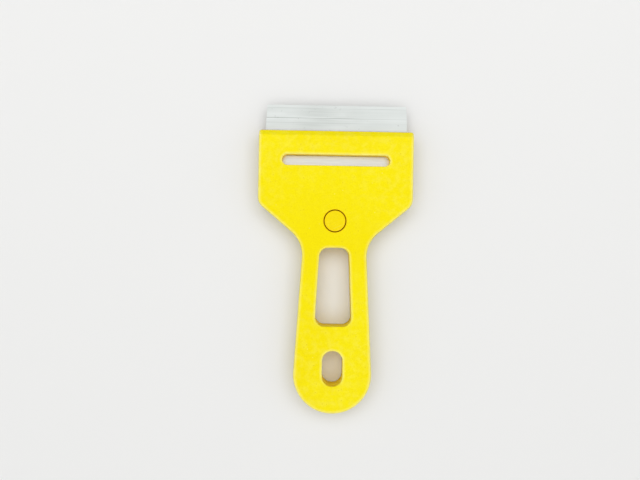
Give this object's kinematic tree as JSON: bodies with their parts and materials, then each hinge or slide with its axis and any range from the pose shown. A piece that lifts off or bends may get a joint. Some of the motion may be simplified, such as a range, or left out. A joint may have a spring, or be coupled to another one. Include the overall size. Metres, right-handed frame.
{
  "type": "razor blade scraper",
  "caption": "Flat hand scraper with moulded halves that turn on a flush rivet and hold a single-edge blade; the handle has a window and a hang slot.",
  "frame": {"origin": "on the back face, under the middle of the whole part, blade included", "axes": "+X across the head, +Y along the handle towards the cutting edge, +Z out of the front face"},
  "size_m": [0.0412, 0.0822, 0.005],
  "materials": {
    "body_plastic": "satin moulded yellow with a fine grain",
    "rivet_plastic": "satin moulded yellow",
    "blade_steel": "ground along the edge",
    "spine_aluminium": "satin rolled strip"
  },
  "bodies": {
    "back_half": {"back_plate": "body_plastic", "rivet_barrel": "rivet_plastic", "rivet_pin": "rivet_plastic"},
    "front_half": {"front_plate": "body_plastic"},
    "blade_unit": {"blade": "blade_steel", "blade_spine": "spine_aluminium"}
  },
  "joints": [
    {"name": "front_swing", "type": "hinge", "parent": "back_half", "child": "front_half", "pos_m": [0, 0.00997, 0.004], "axis": [0, 0, 1], "range_deg": [0, 100]},
    {"name": "blade_slide", "type": "slide", "parent": "back_half", "child": "blade_unit", "axis": [0, 1, 0], "range_m": [0, 0.014]}
  ]
}
